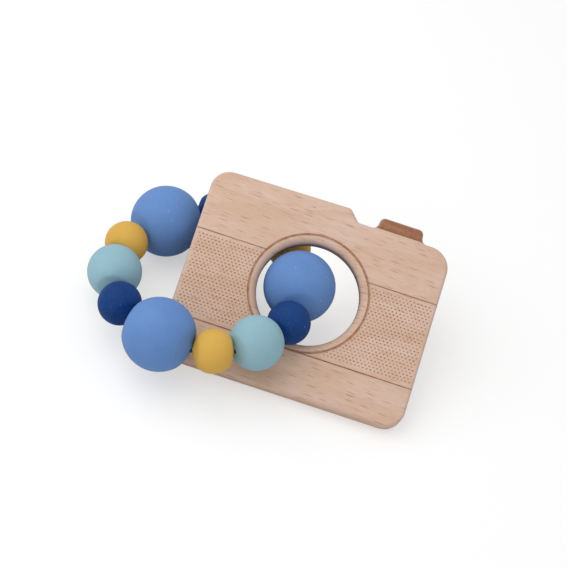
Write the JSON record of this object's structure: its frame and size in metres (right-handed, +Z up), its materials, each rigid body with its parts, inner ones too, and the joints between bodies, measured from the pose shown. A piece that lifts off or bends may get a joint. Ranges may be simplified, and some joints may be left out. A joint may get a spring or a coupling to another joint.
{
  "type": "camera rattle",
  "caption": "Flat wooden toy camera with a round lens hole and a loop of silicone beads threaded through it, for a baby to grip, shake and chew.",
  "frame": {"origin": "middle of the bounding box's base, on the floor that the rattle rests on", "axes": "+Z up; +X towards the plate's right edge, along its straight lower edge, which rests on the floor; +Y away from that edge, towards the plate's raised top"},
  "size_m": [0.0942, 0.0694, 0.0304],
  "materials": {
    "beech": "smooth sanded, unvarnished",
    "string": "braided",
    "blue_silicone": "matt",
    "yellow_silicone": "matt",
    "teal_silicone": "matt",
    "navy_silicone": "matt"
  },
  "bodies": {
    "plate": {"camera_body": "beech"},
    "ring": {"bead_string": "string"},
    "large_bead_1": {"large_bead_1": "blue_silicone"},
    "yellow_bead_1": {"yellow_bead_1": "yellow_silicone"},
    "teal_bead_1": {"teal_bead_1": "teal_silicone"},
    "navy_bead_1": {"navy_bead_1": "navy_silicone"},
    "large_bead_2": {"large_bead_2": "blue_silicone"},
    "yellow_bead_2": {"yellow_bead_2": "yellow_silicone"},
    "teal_bead_2": {"teal_bead_2": "teal_silicone"},
    "navy_bead_2": {"navy_bead_2": "navy_silicone"},
    "large_bead_3": {"large_bead_3": "blue_silicone"},
    "yellow_bead_3": {"yellow_bead_3": "yellow_silicone"},
    "teal_bead_3": {"teal_bead_3": "teal_silicone"},
    "navy_bead_3": {"navy_bead_3": "navy_silicone"}
  },
  "joints": [
    {"name": "ring_swing", "type": "hinge", "parent": "plate", "child": "ring", "pos_m": [-0.01457, 0.00076, 0.01343], "axis": [-0.9813, -0.1707, -0.0891], "range_deg": [0, 108]},
    {"name": "large_bead_1_spin", "type": "hinge", "parent": "ring", "child": "large_bead_1", "pos_m": [-0.03142, 0.01982, 0.01], "axis": [0.6907, 0.723, 0.0107], "continuous": true},
    {"name": "yellow_bead_1_spin", "type": "hinge", "parent": "ring", "child": "yellow_bead_1", "pos_m": [-0.03963, 0.00709, 0.01023], "axis": [0.2345, 0.9703, -0.059], "continuous": true},
    {"name": "teal_bead_1_spin", "type": "hinge", "parent": "ring", "child": "teal_bead_1", "pos_m": [-0.03968, -0.00539, 0.0113], "axis": [-0.176, 0.979, -0.1032], "continuous": true},
    {"name": "navy_bead_1_spin", "type": "hinge", "parent": "ring", "child": "navy_bead_1", "pos_m": [-0.03515, -0.01697, 0.01278], "axis": [-0.5796, 0.8043, -0.1308], "continuous": true},
    {"name": "large_bead_2_spin", "type": "hinge", "parent": "ring", "child": "large_bead_2", "pos_m": [-0.02234, -0.02473, 0.01481], "axis": [-0.9423, 0.3098, -0.1265], "continuous": true},
    {"name": "yellow_bead_2_spin", "type": "hinge", "parent": "ring", "child": "yellow_bead_2", "pos_m": [-0.00731, -0.02595, 0.0165], "axis": [-0.9419, -0.3283, -0.0713], "continuous": true},
    {"name": "teal_bead_2_spin", "type": "hinge", "parent": "ring", "child": "teal_bead_2", "pos_m": [0.00298, -0.01882, 0.01698], "axis": [-0.6855, -0.728, -0.0097], "continuous": true},
    {"name": "navy_bead_2_spin", "type": "hinge", "parent": "ring", "child": "navy_bead_2", "pos_m": [0.00971, -0.00826, 0.01678], "axis": [-0.3192, -0.9465, 0.0479], "continuous": true},
    {"name": "large_bead_3_spin", "type": "hinge", "parent": "ring", "child": "large_bead_3", "pos_m": [0.00973, 0.00684, 0.01547], "axis": [0.1809, -0.978, 0.1036], "continuous": true},
    {"name": "yellow_bead_3_spin", "type": "hinge", "parent": "ring", "child": "yellow_bead_3", "pos_m": [0.00413, 0.0208, 0.01368], "axis": [0.6643, -0.7354, 0.1338], "continuous": true},
    {"name": "teal_bead_3_spin", "type": "hinge", "parent": "ring", "child": "teal_bead_3", "pos_m": [-0.00649, 0.02724, 0.012], "axis": [0.9418, -0.3113, 0.1266], "continuous": true},
    {"name": "navy_bead_3_spin", "type": "hinge", "parent": "ring", "child": "navy_bead_3", "pos_m": [-0.0189, 0.02829, 0.01059], "axis": [0.9732, 0.2139, 0.0845], "continuous": true}
  ]
}
